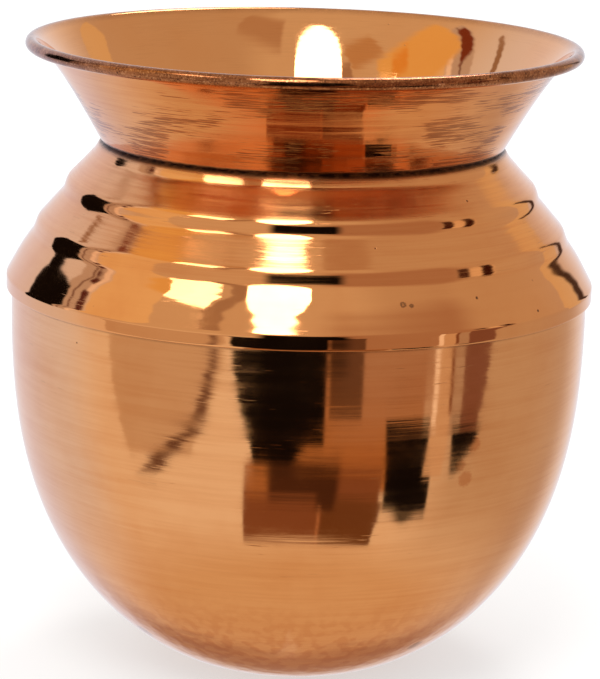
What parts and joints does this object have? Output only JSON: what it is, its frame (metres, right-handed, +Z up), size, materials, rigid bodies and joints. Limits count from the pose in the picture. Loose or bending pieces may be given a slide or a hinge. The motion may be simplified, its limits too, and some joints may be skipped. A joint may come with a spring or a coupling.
{
  "type": "ritual water pot",
  "caption": "Round-bellied spun copper water pot with a stepped shoulder and a wide flared mouth with a rolled rim, for holding and pouring water in a ritual.",
  "frame": {"origin": "centre of the flat standing face, on the pot's axis", "axes": "+Z up along the pot's axis to the mouth; +X to the right and -Y to the front as pictured"},
  "size_m": [0.102, 0.102, 0.1094],
  "materials": {
    "polished_copper": "spun copper, polished, with fine turning lines and light tarnish",
    "dull_copper": "dull drawn copper wire",
    "brazing_metal": "yellow brazing metal, cleaned"
  },
  "bodies": {
    "root": {"bowl": "polished_copper", "shoulder": "polished_copper", "neck": "polished_copper", "rim_wire": "dull_copper", "neck_braze": "brazing_metal", "belly_braze": "brazing_metal"}
  },
  "joints": []
}
